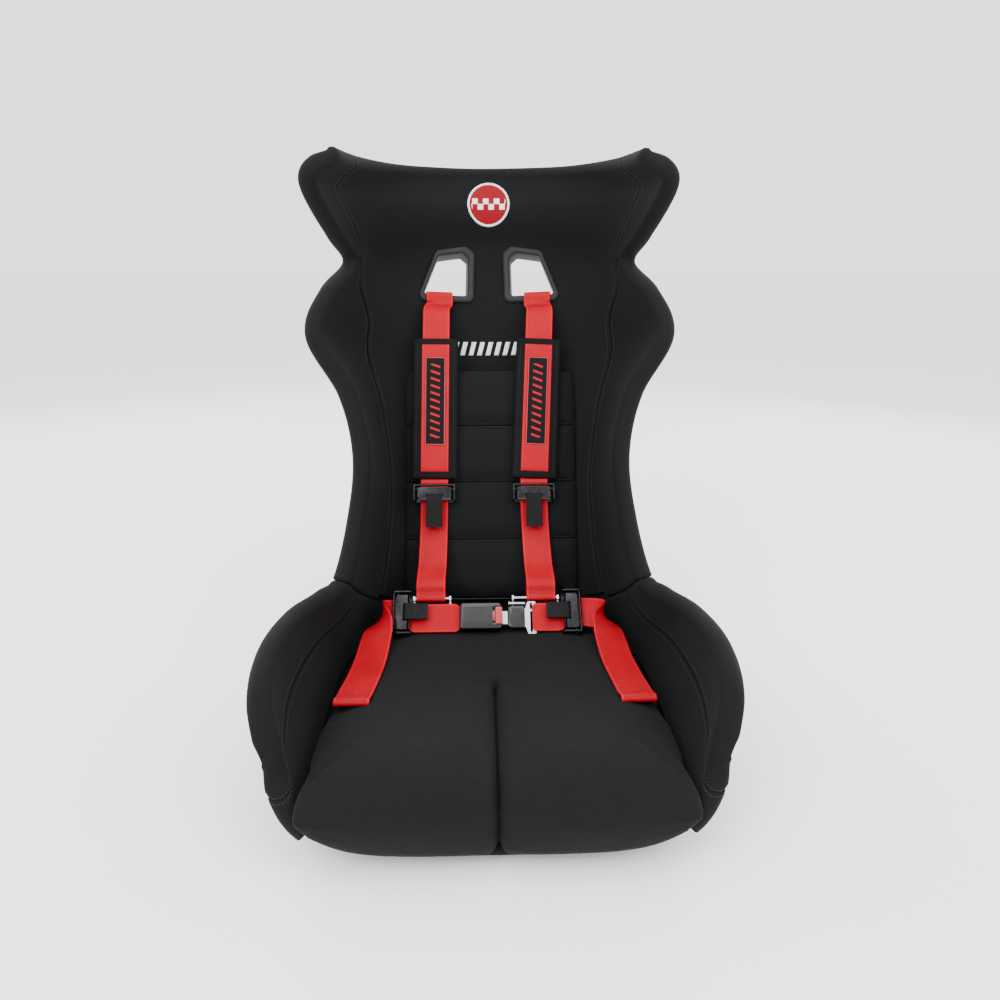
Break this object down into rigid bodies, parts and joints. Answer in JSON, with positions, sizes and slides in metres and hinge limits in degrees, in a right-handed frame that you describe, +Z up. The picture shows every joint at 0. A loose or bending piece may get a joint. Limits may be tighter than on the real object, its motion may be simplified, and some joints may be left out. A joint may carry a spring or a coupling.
{
  "type": "racing seat",
  "caption": "Fixed-back bucket racing seat with a winged head restraint, split thigh cushion, slotted back and a harness with a push-button buckle.",
  "frame": {"origin": "on the floor under the seat pan, in the middle of the seat", "axes": "+X to the right of the picture plane, -Y to the front of the seat, +Z up"},
  "size_m": [0.6108, 0.8196, 0.8567],
  "materials": {
    "fabric": "matte knitted",
    "shell": "gelcoat",
    "trim": "matte",
    "bezel": "textured",
    "webbing": "woven, slight sheen",
    "pad": "matte",
    "label": "woven label",
    "steel": "black nickel",
    "bright_steel": "zinc plated",
    "tab": "folded nylon webbing",
    "buckle_plastic": "moulded",
    "button_plastic": "moulded",
    "badge": "embroidered patch",
    "thread": "satin stitch"
  },
  "bodies": {
    "seat": {"shell": "shell", "edge_trim": "trim", "mount_pad_left": "shell", "mount_pad_right": "shell", "mount_inserts_left": "bright_steel", "mount_inserts_right": "bright_steel", "slot_bezel_left": "bezel", "slot_bezel_right": "bezel", "slot_rear_ring_left": "bezel", "slot_rear_ring_right": "bezel", "head_cover": "fabric", "back_cover": "fabric", "shoulder_cover_left": "fabric", "shoulder_cover_right": "fabric", "hip_cover_left": "fabric", "hip_cover_right": "fabric", "pan_cover": "fabric", "back_cushion": "fabric", "seat_cushion": "fabric", "badge": "badge", "stitched_bars": "thread", "shoulder_strap_left": "webbing", "shoulder_strap_right": "webbing", "lower_strap_left": "webbing", "lower_strap_right": "webbing", "shoulder_adjuster_left": "steel", "shoulder_adjuster_right": "steel", "lap_adjuster_left": "steel", "lap_belt_left": "webbing", "lap_link_left": "webbing", "buckle_frame": "bright_steel", "buckle_cover": "buckle_plastic", "button_spring": "bright_steel", "strap_bar_left": "bright_steel"},
    "button": {"release_button": "button_plastic"},
    "latch": {"latch": "bright_steel"},
    "tongue_side": {"tongue": "bright_steel", "tongue_cover": "buckle_plastic", "strap_bar_right": "bright_steel", "lap_link_right": "webbing", "lap_adjuster_right": "steel", "lap_belt_right": "webbing"},
    "pad_left": {"shoulder_pad_left": "pad", "pad_band_left": "webbing", "pad_label_left": "label"},
    "pad_right": {"shoulder_pad_right": "pad", "pad_band_right": "webbing", "pad_label_right": "label"},
    "shoulder_cam_left": {"shoulder_cam_left": "steel", "shoulder_tab_left": "tab"},
    "shoulder_cam_right": {"shoulder_cam_right": "steel", "shoulder_tab_right": "tab"},
    "lap_cam_left": {"lap_cam_left": "steel", "lap_tab_left": "tab"},
    "lap_cam_right": {"lap_cam_right": "steel", "lap_tab_right": "tab"}
  },
  "joints": [
    {"name": "button_press", "type": "slide", "parent": "seat", "child": "button", "axis": [-1, 0, 0], "range_m": [0, 0.004], "stiffness_N_per_m": 900},
    {"name": "latch_lift", "type": "slide", "parent": "seat", "child": "latch", "axis": [0, -0.7071, 0.7071], "range_m": [0, 0.0016]},
    {"name": "tongue_pull", "type": "slide", "parent": "seat", "child": "tongue_side", "axis": [1, 0, 0], "range_m": [0, 0.018]},
    {"name": "pad_slide_left", "type": "slide", "parent": "seat", "child": "pad_left", "axis": [0.0109, 0.4067, 0.9135], "range_m": [0, 0.03]},
    {"name": "pad_slide_right", "type": "slide", "parent": "seat", "child": "pad_right", "axis": [0.0489, 0.4063, 0.9125], "range_m": [0, 0.03]},
    {"name": "shoulder_cam_turn_left", "type": "hinge", "parent": "seat", "child": "shoulder_cam_left", "pos_m": [-0.101, 0.20893, 0.29834], "axis": [-1, 0, 0], "range_deg": [0, 40]},
    {"name": "shoulder_cam_turn_right", "type": "hinge", "parent": "seat", "child": "shoulder_cam_right", "pos_m": [0.076, 0.20893, 0.29834], "axis": [-1, 0, 0], "range_deg": [0, 40]},
    {"name": "lap_cam_turn_left", "type": "hinge", "parent": "seat", "child": "lap_cam_left", "pos_m": [-0.158, 0.06412, 0.12819], "axis": [0, -0.7071, -0.7071], "range_deg": [0, 40]},
    {"name": "lap_cam_turn_right", "type": "hinge", "parent": "tongue_side", "child": "lap_cam_right", "pos_m": [0.139, 0.06412, 0.12819], "axis": [0, 0.7071, 0.7071], "range_deg": [0, 40]}
  ],
  "couplings": [
    {"joint": "latch_lift", "follows": "button_press", "ratio": 0.4}
  ]
}
